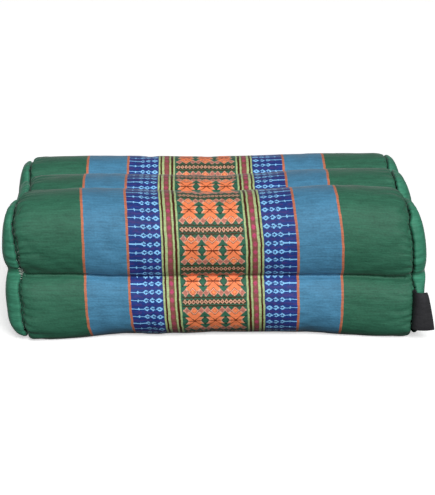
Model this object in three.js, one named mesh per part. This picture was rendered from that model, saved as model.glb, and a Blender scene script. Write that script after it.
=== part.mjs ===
// A block-shaped yoga cushion. One patterned cloth is wrapped round six stuffed tubes, three deep and
// two high, and is sewn down between them. A plain cloth panel, pushed out by the filling, closes each
// end, and a folded ribbon label is caught in one end seam.
// Millimetres. X runs along the tubes, -Y is the front, +Z is up, and the origin is on the floor under
// the middle of the cushion.
import * as THREE from "three";

// Driving sizes
const LENGTH = 350; // over the two domed ends
const DEPTH = 180;
const HEIGHT = 120;
const TUBES_DEEP = 3;
const SEAM_HEIGHT = 53.5; // of the sewn channel along the front and the back
const PANEL_THICKNESS = 1.5;
const GAP = 0.3; // between neighbouring pieces

const HALF_PITCH = DEPTH / TUBES_DEEP / 2;

// The two ends. The seam's distance from the middle is at the channel's height, the lean is how much
// further left the seam lies per millimetre of height, and the bow is how far the seam turns in at its
// top and bottom edges. The domes are how far the panel's upper and lower cells stand out past the seam.
const ENDS = {
  left: { side: -1, seam: LENGTH / 2 - 14, lean: 0.09, bow: 5, domeUpper: 13, domeLower: 16.5 },
  right: { side: 1, seam: LENGTH / 2 - 12.2, lean: 0.03, bow: 2.5, domeUpper: 14, domeLower: 13.5 },
};
const END_PULL = 1.3; // how far the seams turn in at the channels

// The cushion's cross-section at three places: how far out the tubes reach, where the channels between
// them lie, and how square the top and bottom tubes are. Between the places it changes smoothly.
const SECTIONS = {
  middle: { reach: DEPTH / 2 - 1, side: 76.5, upper: 104, lower: 10, squareTop: 2.5, squareBottom: 2.3 },
  nearEnd: { reach: DEPTH / 2 + 1, side: 77, upper: 105, lower: 9, squareTop: 3.1, squareBottom: 4.2 },
  seam: { reach: DEPTH / 2 - 3, side: 77.5, upper: 104, lower: 9, squareTop: 3, squareBottom: 3.6 },
};
const NEAR_END_X = 128;
const TOP_CHANGES = { from: 0, to: 110 }; // distances from the middle, for the top tubes' own shape
const BOTTOM_CHANGES = { from: 65, to: 142 }; // and for the bottom tubes'

// The six tubes, in order round the section from the front channel. Each one's top, or its underside in
// the bottom row, lies this much above the nominal height or the floor at five places along it. An
// underside below the floor is pressed flat on it.
const TUBES = [
  { name: "front top", column: -1, row: 1, leftSeam: -9, left: 1, middle: -2.5, right: 2, rightSeam: -11 },
  { name: "middle top", column: 0, row: 1, leftSeam: -9, left: -3, middle: -5, right: 2, rightSeam: 0 },
  { name: "rear top", column: 1, row: 1, leftSeam: -2, left: 1, middle: 0.5, right: 1.5, rightSeam: -1 },
  { name: "rear bottom", column: 1, row: -1, leftSeam: 0.6, left: -4, middle: -1, right: -4, rightSeam: 0.6 },
  { name: "middle bottom", column: 0, row: -1, leftSeam: 0.6, left: -3, middle: -2, right: -3, rightSeam: 0.6 },
  { name: "front bottom", column: -1, row: -1, leftSeam: 0.6, left: -4, middle: -1, right: -4, rightSeam: 0.6 },
];

// How the cloth of an end panel is pushed out
const HEM_RISE = 3.5; // the panel's edge stands up this much beside the seam
const HEM_INSET = 1.3;
const MIDDLE_CELLS = 0.75; // how far out the middle cells stand, as a share of the others
const SWELL = { side: 24, top: 42, bottom: 24 }; // from the seam to where a panel is fully out
const CREASES = [
  { across: "y", at: -HALF_PITCH, depth: 7, width: 20 },
  { across: "y", at: HALF_PITCH, depth: 7, width: 20 },
  { across: "z", at: SEAM_HEIGHT, depth: 2.5, width: 14 },
];

// The folded ribbon label in the right end seam
const LABEL = { low: 8, high: 40, thickness: 0.6, leafGap: 0.8, reachLow: 17, reachHigh: 12, forward: 9.5 };

// Mesh steps
const CORNER_STEPS = 12; // round a corner tube, an even number
const MIDDLE_STEPS = 8; // over a middle tube
const ROUNDING = 15; // length over which the wrap rounds off to its end seam
const ROUNDING_TURNS = [0, 22, 44, 67, 90]; // degrees of that quarter round
const LONG_STEPS = 12; // along the straight stretch between the roundings
const LABEL_LEVELS = 5;

const clothMaterial = (colour) => new THREE.MeshStandardMaterial({ color: colour, roughness: 0.85, metalness: 0 });

const smooth = (t) => {
  const u = Math.min(1, Math.max(0, t));
  return u * u * (3 - 2 * u);
};

const mix = (a, b, t) => a + (b - a) * t;

const mixRows = (a, b, t) => Object.fromEntries(Object.keys(a).map((key) => [key, mix(a[key], b[key], t)]));

// The measures of the cross-section at a distance x from the middle. A rounding of 0 is the full
// section and 1 is the section at the end seam.
function measuresAt(x, rounding) {
  const full = mixRows(SECTIONS.middle, SECTIONS.nearEnd, smooth(Math.abs(x) / NEAR_END_X));
  return mixRows(full, SECTIONS.seam, rounding);
}

// A superellipse arc about a centre, pulled at its two ends to meet the points it runs between.
function tubeArc(centre, half, power, from, to, turn) {
  const angleOf = (p) => {
    const [u, v] = [(p[0] - centre[0]) / half[0], (p[1] - centre[1]) / half[1]];
    return Math.atan2(Math.sign(v) * Math.abs(v) ** (power / 2), Math.sign(u) * Math.abs(u) ** (power / 2));
  };
  const at = (angle) => {
    const [c, s] = [Math.cos(angle), Math.sin(angle)];
    return [
      centre[0] + half[0] * Math.sign(c) * Math.abs(c) ** (2 / power),
      centre[1] + half[1] * Math.sign(s) * Math.abs(s) ** (2 / power),
    ];
  };
  const start = angleOf(from);
  let end = angleOf(to);
  while (end > start) end -= 2 * Math.PI;
  const [first, last] = [at(start), at(end)];
  return Array.from({ length: turn + 1 }, (_, i) => {
    const t = i / turn;
    const p = at(mix(start, end, t));
    return [0, 1].map((k) => p[k] + mix(from[k] - first[k], to[k] - last[k], t));
  });
}

// The same line again, with a given number of equal steps.
function evenSteps(line, steps) {
  const along = [0];
  for (let i = 1; i < line.length; i++) {
    along.push(along[i - 1] + Math.hypot(line[i][0] - line[i - 1][0], line[i][1] - line[i - 1][1]));
  }
  return Array.from({ length: steps + 1 }, (_, i) => {
    const wanted = (along.at(-1) * i) / steps;
    let k = 1;
    while (k < line.length - 1 && along[k] < wanted) k++;
    const t = (wanted - along[k - 1]) / (along[k] - along[k - 1]);
    return [mix(line[k - 1][0], line[k][0], t), mix(line[k - 1][1], line[k][1], t)];
  });
}

// The closed outline of the cross-section, as [y, z] points in tube order. It starts at the front channel.
function outlineAt(x, rounding) {
  const m = measuresAt(x, rounding);
  const channels = [
    [-m.side, SEAM_HEIGHT],
    [-HALF_PITCH, m.upper],
    [HALF_PITCH, m.upper],
    [m.side, SEAM_HEIGHT],
    [HALF_PITCH, m.lower],
    [-HALF_PITCH, m.lower],
  ];
  return TUBES.flatMap((tube, i) => {
    const [near, seam] = x < 0 ? [tube.left, tube.leftSeam] : [tube.right, tube.rightSeam];
    const change = tube.row > 0 ? TOP_CHANGES : BOTTOM_CHANGES;
    const share = smooth((Math.abs(x) - change.from) / (change.to - change.from));
    const rise = mix(mix(tube.middle, near, share), seam, rounding);
    const limit = tube.row > 0 ? HEIGHT + rise : rise;
    const centre = [(tube.column * (HALF_PITCH + m.reach)) / 2, (SEAM_HEIGHT + limit) / 2];
    const half = [tube.column ? (m.reach - HALF_PITCH) / 2 : HALF_PITCH, Math.abs(limit - SEAM_HEIGHT) / 2];
    const steps = tube.column ? CORNER_STEPS : MIDDLE_STEPS;
    const square = tube.row > 0 ? m.squareTop : mix(SECTIONS.middle.squareBottom, m.squareBottom, share);
    const fine = tubeArc(centre, half, square, channels[i], channels[(i + 1) % channels.length], 96);
    return evenSteps(fine, steps).slice(0, -1).map(([y, z]) => [y, Math.max(0, z)]);
  });
}

// How far from the middle an end's seam lies at a place of its outline.
function seamAt(end, y, z) {
  const middle = HEIGHT / 2;
  const bow = end.bow * Math.min(1, Math.abs(z - middle) / middle) ** 3;
  return end.seam - bow - end.side * end.lean * (z - SEAM_HEIGHT) - END_PULL * channelNearness(y, z);
}

// The rings of the wrap, from the left end seam to the right one.
function wrapRings() {
  const stations = [];
  for (const degrees of ROUNDING_TURNS.toReversed()) stations.push({ end: ENDS.left, share: 1, degrees });
  for (let i = 1; i < LONG_STEPS; i++) {
    const share = mix(-1, 1, i / LONG_STEPS);
    stations.push({ end: share < 0 ? ENDS.left : ENDS.right, share: Math.abs(share), degrees: 0 });
  }
  for (const degrees of ROUNDING_TURNS) stations.push({ end: ENDS.right, share: 1, degrees });
  return stations.map(({ end, share, degrees }) => {
    const turn = THREE.MathUtils.degToRad(degrees);
    const x = share * (end.seam - ROUNDING) + ROUNDING * Math.sin(turn);
    return outlineAt(end.side * x, 1 - Math.cos(turn)).map(([y, z]) => {
      return new THREE.Vector3((end.side * x * seamAt(end, y, z)) / end.seam, y, z);
    });
  });
}

// 1 at a channel and 0 at a tube's middle.
function channelNearness(y, z) {
  const fold = (distance, width) => Math.max(0, 1 - Math.abs(distance) / width);
  const onSide = Math.abs(y) > 2 * HALF_PITCH;
  return onSide ? fold(z - SEAM_HEIGHT, 12) : fold(Math.abs(y) - HALF_PITCH, 12);
}

// How far an end's panel stands out past its hem at section place (y, z), whose distances in from the
// hem's sides, top and bottom are given.
function domeAt(end, distances, y, z) {
  const round = (distance, width) => Math.sqrt(1 - (1 - Math.min(1, distance / width)) ** 2);
  const shares = Object.keys(SWELL).map((edge) => round(distances[edge], SWELL[edge]));
  const swell = shares.reduce((product, share) => product * share);
  let out = mix(end.domeLower, end.domeUpper, smooth((z - SEAM_HEIGHT) / HALF_PITCH + 0.5)) - HEM_RISE;
  for (const crease of CREASES) {
    const distance = Math.abs((crease.across === "y" ? y : z) - crease.at);
    out -= crease.depth * Math.max(0, 1 - distance / crease.width) ** 2;
  }
  return out * swell * mix(MIDDLE_CELLS, 1, smooth(Math.abs(y) / HALF_PITCH));
}

// The outer surface of an end panel: a rim on the seam's outline, a hem that stands up beside the
// seam, and a grid across the end whose lines run along the creases.
function panelSurface(end) {
  const side = end.side;
  const rim = wrapRings().at(side < 0 ? 0 : -1);
  const count = rim.length;
  const across = CORNER_STEPS + MIDDLE_STEPS;
  const high = CORNER_STEPS;
  const corner = CORNER_STEPS / 2; // the index of the front top corner

  const points = rim.map((p) => p.clone().setX(p.x + side * GAP));
  const hem = rim.map((p, k) => {
    const [before, after] = [rim.at(k - 1), rim[(k + 1) % count]];
    const inward = new THREE.Vector3(0, after.z - before.z, before.y - after.y).setLength(HEM_INSET);
    return p.clone().add(inward).setX(p.x + side * (GAP + HEM_RISE));
  });
  points.push(...hem);

  // The grid's border runs on the hem: along the top, down the back, along the bottom and up the front.
  const onBorder = (i, j) => {
    if (j === 0) return corner + i;
    if (i === across) return corner + across + j;
    if (j === high) return corner + across + high + (across - i);
    if (i === 0) return corner + 2 * across + high + (high - j);
    return -1;
  };
  const index = [];
  for (let j = 0; j <= high; j++) {
    index.push([]);
    for (let i = 0; i <= across; i++) {
      const place = onBorder(i, j);
      if (place >= 0) {
        index[j].push(count + (place % count));
        continue;
      }
      const [s, t] = [i / across, j / high];
      const [top, bottom] = [hem[onBorder(i, 0) % count], hem[onBorder(i, high) % count]];
      const [front, back] = [hem[onBorder(0, j) % count], hem[onBorder(across, j) % count]];
      const corners = [
        [onBorder(0, 0), (1 - s) * (1 - t)],
        [onBorder(across, 0), s * (1 - t)],
        [onBorder(0, high), (1 - s) * t],
        [onBorder(across, high), s * t],
      ];
      const p = new THREE.Vector3()
        .addScaledVector(top, 1 - t)
        .addScaledVector(bottom, t)
        .addScaledVector(front, 1 - s)
        .addScaledVector(back, s);
      for (const [k, weight] of corners) p.addScaledVector(hem[k % count], -weight);
      const sideways = Math.min(p.y - front.y, back.y - p.y);
      const distances = { side: sideways, top: top.z - p.z, bottom: p.z - bottom.z };
      p.x += side * domeAt(end, distances, p.y, p.z);
      index[j].push(points.length);
      points.push(p);
    }
  }

  const faces = [];
  for (let k = 0; k < count; k++) {
    const next = (k + 1) % count;
    faces.push([k, next, count + next], [k, count + next, count + k]);
  }
  for (let j = 0; j < high; j++) {
    for (let i = 0; i < across; i++) {
      const [a, b, c, d] = [index[j][i], index[j][i + 1], index[j + 1][i + 1], index[j + 1][i]];
      faces.push([a, b, c], [a, c, d]);
    }
  }
  const outward = side > 0 ? faces.map(([a, b, c]) => [a, c, b]) : faces;
  return { points, faces: outward, rimCount: count };
}

// A surface's points moved inward along their normals. The rim moves only within the seam's plane, so
// that it stays flat.
function movedInward(surface, distance) {
  const normals = surface.points.map(() => new THREE.Vector3());
  for (const face of surface.faces) {
    const [a, b, c] = face.map((i) => surface.points[i]);
    const normal = new THREE.Vector3().subVectors(b, a).cross(new THREE.Vector3().subVectors(c, a));
    for (const i of face) normals[i].add(normal);
  }
  return surface.points.map((p, i) => {
    if (i < surface.rimCount) normals[i].x = 0;
    return p.clone().addScaledVector(normals[i].normalize(), -distance);
  });
}

function geometryOf(points, faces) {
  const positions = new Float32Array(points.flatMap((p) => [p.x, p.y, p.z]));
  const geometry = new THREE.BufferGeometry();
  geometry.setAttribute("position", new THREE.BufferAttribute(positions, 3));
  geometry.setIndex(faces.flat());
  geometry.computeVertexNormals();
  return geometry;
}

// Faces between two rings of the same length, whose first points have these indices. They face out
// when the second ring lies further along.
function band(first, second, count) {
  return Array.from({ length: count }, (_, k) => k).flatMap((k) => {
    const next = (k + 1) % count;
    return [
      [first + k, second + k, second + next],
      [first + k, second + next, first + next],
    ];
  });
}

const reversed = (faces) => faces.map(([a, b, c]) => [a, c, b]);

// The stuffed cushion: the wrap, and under each end panel the domed end of the filling.
function cushionGeometry() {
  const rings = wrapRings();
  const count = rings[0].length;
  const points = rings.flat();
  const faces = [];
  for (let r = 0; r < rings.length - 1; r++) faces.push(...band(r * count, (r + 1) * count, count));
  for (const end of Object.values(ENDS)) {
    const side = end.side;
    const surface = panelSurface(end);
    const start = points.length;
    const under = movedInward(surface, PANEL_THICKNESS + 2 * GAP);
    points.push(...under.map((p) => p.setX(p.x - side * GAP)));
    faces.push(...surface.faces.map((face) => face.map((i) => i + start)));
    faces.push(...(side < 0 ? band(start, 0, count) : band((rings.length - 1) * count, start, count)));
  }
  return geometryOf(points, faces);
}

// An end panel: a sheet of even thickness.
function panelGeometry(end) {
  const outer = panelSurface(end);
  const start = outer.points.length;
  const points = [...outer.points, ...movedInward(outer, PANEL_THICKNESS)];
  const faces = [...outer.faces, ...reversed(outer.faces.map((face) => face.map((i) => i + start)))];
  const rimBand = band(0, start, outer.rimCount);
  faces.push(...(end.side > 0 ? reversed(rimBand) : rimBand));
  return geometryOf(points, faces);
}

// The point of the right end seam's front edge at a height.
function frontSeamPoint(z) {
  const rim = wrapRings().at(-1);
  const nearest = rim.filter((p) => p.y < -HALF_PITCH * 2).map((p) => ({ p, d: Math.abs(p.z - z) }));
  nearest.sort((a, b) => a.d - b.d);
  const [a, b] = nearest.map((n) => n.p);
  const t = (z - a.z) / (b.z - a.z);
  return new THREE.Vector3().lerpVectors(a, b, t);
}

// The line that the label follows at one height, out of the seam and round to the right.
function labelLine(z) {
  const share = (z - LABEL.low) / (LABEL.high - LABEL.low);
  const reach = mix(LABEL.reachLow, LABEL.reachHigh, share);
  const root = frontSeamPoint(z);
  const line = new THREE.CatmullRomCurve3([
    new THREE.Vector3(root.x + 1.6, root.y - 1.4, z),
    new THREE.Vector3(root.x + 1.4, root.y - 0.55 * LABEL.forward, z),
    new THREE.Vector3(root.x + 0.22 * reach, root.y - 0.92 * LABEL.forward, z),
    new THREE.Vector3(root.x + 0.6 * reach, root.y - LABEL.forward - 0.6, z),
    new THREE.Vector3(root.x + reach, root.y - 0.9 * LABEL.forward, z),
  ]);
  return line.getSpacedPoints(8);
}

// The label: a ribbon folded in half, its fold outwards and its two ends in the seam.
function labelGeometry() {
  const offset = (LABEL.leafGap + LABEL.thickness) / 2;
  const levels = Array.from({ length: LABEL_LEVELS }, (_, i) => mix(LABEL.low, LABEL.high, i / (LABEL_LEVELS - 1)));
  const leaves = levels.map((z) => {
    const line = labelLine(z);
    const sides = line.map((p, i) => {
      const ahead = line[Math.min(i + 1, line.length - 1)];
      const behind = line[Math.max(i - 1, 0)];
      return new THREE.Vector3(ahead.y - behind.y, behind.x - ahead.x, 0).normalize();
    });
    const tip = line.at(-1);
    const out = new THREE.Vector3().subVectors(tip, line.at(-2)).setLength(offset);
    const near = line.map((p, i) => [p, sides[i]]);
    const far = line.map((p, i) => [p, sides[i].clone().negate()]).toReversed();
    const fold = [tip.clone().add(out), out.clone().normalize()];
    const ribbon = (half) => [
      ...near.map(([p, n]) => p.clone().addScaledVector(n, offset + half)),
      fold[0].clone().addScaledVector(fold[1], half),
      ...far.map(([p, n]) => p.clone().addScaledVector(n, offset + half)),
    ];
    return { outer: ribbon(LABEL.thickness / 2), inner: ribbon(-LABEL.thickness / 2) };
  });
  const stops = leaves[0].outer.length;
  const rings = Array.from({ length: stops }, (_, i) => [
    ...leaves.map((leaf) => leaf.outer[i]),
    ...leaves.toReversed().map((leaf) => leaf.inner[i]),
  ]);
  const count = 2 * LABEL_LEVELS;
  const points = rings.flat();
  const faces = [];
  for (let r = 0; r < stops - 1; r++) faces.push(...band(r * count, (r + 1) * count, count));
  const endFaces = (start) =>
    Array.from({ length: LABEL_LEVELS - 1 }, (_, k) => k).flatMap((k) => {
      const [a, b, c, d] = [k, k + 1, count - 2 - k, count - 1 - k].map((i) => start + i);
      return [
        [a, b, c],
        [a, c, d],
      ];
    });
  faces.push(...endFaces(0), ...reversed(endFaces((stops - 1) * count)));
  return geometryOf(points, faces);
}

function named(name, geometry, material) {
  const mesh = new THREE.Mesh(geometry, material);
  mesh.name = name;
  return mesh;
}

const cushion = new THREE.Group();
const wrapCloth = clothMaterial(0x2f6b4c);
const panelCloth = clothMaterial(0x2f7d5c);
const ribbon = clothMaterial(0x2b2a2d);
cushion.add(
  named("cushion_body", cushionGeometry(), wrapCloth),
  named("end_panel_left", panelGeometry(ENDS.left), panelCloth),
  named("end_panel_right", panelGeometry(ENDS.right), panelCloth),
  named("side_label", labelGeometry(), ribbon),
);

export default cushion;
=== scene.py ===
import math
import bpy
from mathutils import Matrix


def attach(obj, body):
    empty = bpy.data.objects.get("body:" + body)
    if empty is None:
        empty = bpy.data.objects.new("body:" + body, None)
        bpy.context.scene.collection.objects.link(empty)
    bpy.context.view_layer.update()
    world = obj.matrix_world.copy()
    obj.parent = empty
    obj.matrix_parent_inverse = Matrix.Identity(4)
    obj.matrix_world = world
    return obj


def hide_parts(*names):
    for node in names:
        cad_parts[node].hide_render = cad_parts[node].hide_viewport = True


bl_info = {
    "name": "Tube Cushion",
    "version": (1, 0, 0),
    "blender": (4, 5, 0),
    "location": "View3D > Sidebar > Cushion",
    "description": "Dresses a block-shaped yoga cushion in woven, patterned cloth",
    "category": "Object",
}

import bpy
import numpy as np
from bpy.props import FloatProperty, FloatVectorProperty, PointerProperty
from mathutils import Vector

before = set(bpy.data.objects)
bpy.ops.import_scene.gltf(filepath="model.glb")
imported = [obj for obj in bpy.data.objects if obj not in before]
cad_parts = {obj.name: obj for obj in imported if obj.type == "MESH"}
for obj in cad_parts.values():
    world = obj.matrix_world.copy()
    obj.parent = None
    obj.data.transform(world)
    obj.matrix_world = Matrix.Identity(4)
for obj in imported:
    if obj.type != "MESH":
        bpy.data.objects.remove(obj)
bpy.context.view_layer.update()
MM = 0.001

# The cushion's measures in millimetres, the same as those of the solids.

# Its cross-section at three places: how far out the tubes reach, where the channels between them lie,
# and how square the top and bottom tubes are.
SECTION_COLUMNS = ("reach", "side", "upper", "lower", "square_top", "square_bottom")
SECTIONS = {
    "middle": dict(zip(SECTION_COLUMNS, (89, 81.5, 104, 10, 2.15, 2.3))),
    "near_end": dict(zip(SECTION_COLUMNS, (91, 82, 105, 9, 2.35, 3.1))),
    "seam": dict(zip(SECTION_COLUMNS, (87, 78, 104, 9, 2.8, 5.0))),
}

# Between which distances from the cushion's middle the section, the height of a top tube and of a
# bottom one, and a tube's drop towards the seam change over.
SECTION_CHANGES = (0, 128)
TOP_CHANGES = (0, 110)
BOTTOM_CHANGES = (65, 142)
SHOULDER_CHANGES = (105, 150)

# The tubes in order round the section from the front channel. Each one's top, or its underside, lies
# this much above the nominal height or the floor at five places along it. The phase is how far the
# woven repeat has run on at the tube's first channel.
TUBE_COLUMNS = ("name", "column", "row", "left_seam", "left", "middle", "right", "right_seam", "phase")
TUBES = [
    dict(zip(TUBE_COLUMNS, row))
    for row in (
        ("front top", -1, 1, -9, 2.5, -2, 4, -11, 6.6),
        ("middle top", 0, 1, -9, -3, -5.5, 1, 1, 19.2),
        ("rear top", 1, 1, -1, 2.5, 2, 3.6, 3, 1.3),
        ("rear bottom", 1, -1, 0.6, -4, -1, -4, 0.6, 24.2),
        ("middle bottom", 0, -1, 0.6, -3, -2, -3, 0.6, 31.5),
        ("front bottom", -1, -1, 0.6, -4, -1, -4, 0.6, 32.8),
    )
]

# How far the woven bands have slipped to the right on a tube. Each row holds a place along the tube's
# cloth from its first channel, and the slips near the left border band, at the middle and near the right
# border band.
SLIP_PLACES = (-105, 0, 105)
SLIPS = {
    "front top": (
        (0, 0, -0.7, 0.2), (12, 0, -0.9, 0), (32, 0, -1.3, -0.8), (46, -0.2, -2.4, -2.6),
        (61, -1, -3.2, -4.5), (70, -2, -3.6, -5), (95, -4.1, -4.2, -5.9), (121, -4, -4.4, -6),
    ),
    "middle top": ((0, -3.8, -4.9, -5.8), (68, -3.8, -4.9, -5.8)),
    "rear top": ((0, -4.1, -4.6, -3.5), (60, -4.1, -4.6, -3.5), (125, -1, -1, -1)),
    "rear bottom": ((0, -1, -1, -1), (110, 3, 2, 0)),
    "middle bottom": ((0, 3, 2, 0), (68, 5, 2.5, -0.5)),
    "front bottom": (
        (0, 5, 2.5, -0.5), (55, 4.5, 2.2, -0.5), (66, 2.4, 1.5, -0.25), (77, 1.4, 0.9, 0), (88, 0.8, 0.1, 0),
        (98, 0.4, -0.3, 0), (110, 0, -0.7, 0.2),
    ),
}

# How far the front and back channels lie above their nominal height, and how much further out the
# bottom tubes reach, at places along the cushion.
CHANNEL_RISES = (
    (-160, 2.9), (-120, 2.7), (-100, 1.5), (-86, 0.5), (-60, 0.2),
    (110, 0), (124, -0.6), (141, -1.8), (160, -2.2),
)
FEET = (
    (-150, 4), (-118, 0.5), (-95, -1.5), (-78, -1), (-48, 3), (-25, 2), (-2, 0),
    (120, 0), (148, 3), (160, 3),
)

# The two ends: the seam's place, its lean and bow, how far it is pulled in at heights (pulls) and behind
# the front tube's top (dip), how far the upper and lower cells of the panel stand out past it, the widths
# over which they swell from the top and bottom, the share by which the middle cells stand out further,
# and the depth of the crease at the channel.
ENDS = {
    "left": {
        "side": -1, "seam": 161.0, "lean": 0.09, "bow": 5.0, "dip": 6.2,
        "pulls": (
            (0, -2.6), (14, -1.5), (23, -0.7), (32, 0.8), (50, 1), (57, 2.4), (71, 2.5), (82, 2.1),
            (97, 0.7), (120, 0.8),
        ),
        "upper": 17.0, "lower": 15.5, "top": 76, "bottom": 18, "middle": 1.08, "notch": 3.0,
    },
    "right": {
        "side": 1, "seam": 162.8, "lean": 0.03, "bow": 2.5, "dip": 2.5,
        "pulls": ((0, 0), (53, 0), (66, 1.6), (80, 1.7), (92, 3), (99, 4.5), (103, 2.2), (120, 2)),
        "upper": 14.3, "lower": 11.0, "top": 42, "bottom": 24, "middle": 1.15, "notch": -0.8,
    },
}
DIP = {"y": -8, "reach": 30, "bottom": 70, "rise": 25}

# How far a channel pulls in the end seam, and over which distance beside it.
END_PULL = 1.3
CHANNEL_REACH = 12

# How far from the seam the wrap rounds over, and the share of a tube's drop that comes before that.
ROUNDING = 15.0
SHOULDER = 0.2

# A panel's rise within its hem, the width over which it swells from its sides, and the creases between
# its cells.
HEM_RISE = 3.9
SWELL_SIDE = 19
CREASE_DEPTH, CREASE_WIDTH = 3.4, 20

# The edge of the wrap and of an end panel where they turn down into the seam: how far in from the
# seam's outline and how far out past its plane each ring lies.
WRAP_TUCK = [(0.6, 0.35), (2.0, 0.5), (4.2, 0.4)]
PANEL_HEM = [(4.3, 0.9), (3.0, 1.1), (1.8, 1.8), (1.2, 2.9), (1.4, 4.2)]

# The cloth that closes the wrap under an end panel: how far in it starts and out past the seam, and how
# much flatter than the panel it lies.
CLOSING_INSET, CLOSING_OUT, CLOSING_FLATTER = 0.8, 0.2, 3.0

# Small tucks where the wrap was pulled in at the seam: place, depth and reach.
TUCKS = [
    (-158, -78, 111.5, 1.5, 2.2), (-159, -79, 109.5, 2, 2.2), (-160, -79.5, 107, 1.6, 2.2),
    (157, -75.5, 109, 1.8, 2.4), (155, -79, 109, 2.2, 2.4), (152, -82, 109.2, 2, 2.3),
    (149, -83.4, 109.4, 1.1, 2.2),
]

# The pulled creases beside the end seams, along the channels and round the panels: how far apart, wide
# and long they are, their depth as a share of the pucker depth, and the seed of their random draws.
CREASE_COLUMNS = ("spacing", "width", "reach", "share", "seed")
SEAM_CREASES = [
    dict(zip(CREASE_COLUMNS, row)) for row in ((5.0, 1.3, 16.0, 1.1, 11), (15.0, 1.5, 32.0, 0.8, 21))
]
CHANNEL_CREASES = dict(zip(CREASE_COLUMNS, (9.0, 2.6, 9.0, 0.3, 31)))
PANEL_CREASES = dict(zip(CREASE_COLUMNS, (6.0, 1.5, 11.0, 0.6, 51)))

# How the creases vary: the shares of their measures between which each one's are drawn, its sideways
# drift, and how often a crease is a long one.
CREASE_SPACING, CREASE_LENGTH, CREASE_WIDE, CREASE_DEEP = (0.55, 1.6), (0.5, 1.3), (0.75, 1.35), (0.35, 1.25)
CREASE_DRIFT = (-0.16, 0.16)
LONG_SHARE, LONG_LENGTH = 0.1, 2.0

# Where the creases lie: how far before and behind an end seam, how far from a channel and from the
# cushion's middle, and for each channel from and to which depth and which height.
SEAM_ZONE = (-2, 40)
CHANNEL_SIDE, CHANNEL_END = 14, 150
CHANNEL_ZONES = (
    (-200, -60, 38, 82), (-46, -14, 86, 154), (14, 46, 86, 154),
    (60, 200, 38, 82), (14, 46, -34, 34), (-46, -14, -34, 34),
)

# The valleys that the sewing pulls in along the channels and the end seams: depth and half width. Those
# of the channels lie above a height and end at a distance from the cushion's middle.
CHANNEL_VALLEY = (2.4, 1.5)
SEAM_VALLEY = (0.9, 2.2)
VALLEY_ABOVE, VALLEY_END = 20, 156

# How far above the floor the lowest points of the wrap stay.
FLOOR_GAP = 0.1

# Mesh steps round a corner tube and a middle one, and rings from the middle to an end's rounding, a
# little closer towards it, and round it, in degrees. Each step is halved after the cloth simulation.
CORNER_STEPS = 42
MIDDLE_STEPS = 28
RINGS = 34
RING_CLOSENESS = 0.9
RING_TURNS = (0, 8, 16, 24, 32, 40, 48, 56, 64, 72, 81, 90)

# Points by which an arc is measured, and rounds in which the cloth over an end is drawn even.
ARC_POINTS = 400
EVEN_ROUNDS = 200

# The cloth simulation: its settings, its frames, the furthest a point may move and the rounds of
# smoothing that part the wrinkles from the swelling.
CLOTH = {
    "quality": 5, "mass": 0.2, "tension_stiffness": 12, "compression_stiffness": 12, "shear_stiffness": 4,
    "bending_stiffness": 0.35, "use_pressure": True, "uniform_pressure_force": 3.5,
}
FRAMES = 18
FURTHEST_MOVE = 6 * MM
WRINKLE_ROUNDS = 14


# Shape

def smooth(t):
    u = np.clip(t, 0, 1)
    return u * u * (3 - 2 * u)


def mix(a, b, t):
    return a + (b - a) * t


def mix_rows(a, b, t):
    return {key: mix(a[key], b[key], t) for key in a}


def tube_arc(centre, half, power, start, end, steps):
    """A superellipse arc that is pulled at its ends to meet start and end, as steps even steps."""
    def angle_of(p):
        u, v = (p - centre) / half
        return math.atan2(math.copysign(abs(v) ** (power / 2), v), math.copysign(abs(u) ** (power / 2), u))

    first, last = angle_of(start), angle_of(end)
    while last > first:
        last -= 2 * math.pi
    t = np.linspace(0, 1, ARC_POINTS)
    angle = mix(first, last, t)
    c, s = np.cos(angle), np.sin(angle)
    line = np.stack([np.sign(c) * np.abs(c) ** (2 / power), np.sign(s) * np.abs(s) ** (2 / power)], 1)
    line = centre + half * line
    line = line + mix(start - line[0], end - line[-1], t[:, None])
    along = lengths(line)
    return at_length(line, along, np.linspace(0, along[-1], steps + 1))


def at_places(table, x):
    """A table's value at a place along the cushion."""
    return np.interp(x, *zip(*table))


def change(x, places):
    """How far a change between two distances from the cushion's middle has come, from 0 to 1."""
    low, high = places
    return float(smooth((abs(x) - low) / (high - low)))


def lengths(points):
    """The length along a line of points at each of them."""
    return np.concatenate([[0], np.cumsum(np.linalg.norm(np.diff(points, axis=0), axis=1))])


def at_length(points, along, wanted):
    """The points of a line at the wanted lengths along it."""
    return np.stack([np.interp(wanted, along, points[:, k]) for k in range(points.shape[1])], -1)


def channel_height(x):
    return bpy.context.scene.cushion_sizes.seam_height / MM + float(at_places(CHANNEL_RISES, x))


def half_pitch():
    return bpy.context.scene.cushion_sizes.tube_pitch / MM / 2


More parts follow.
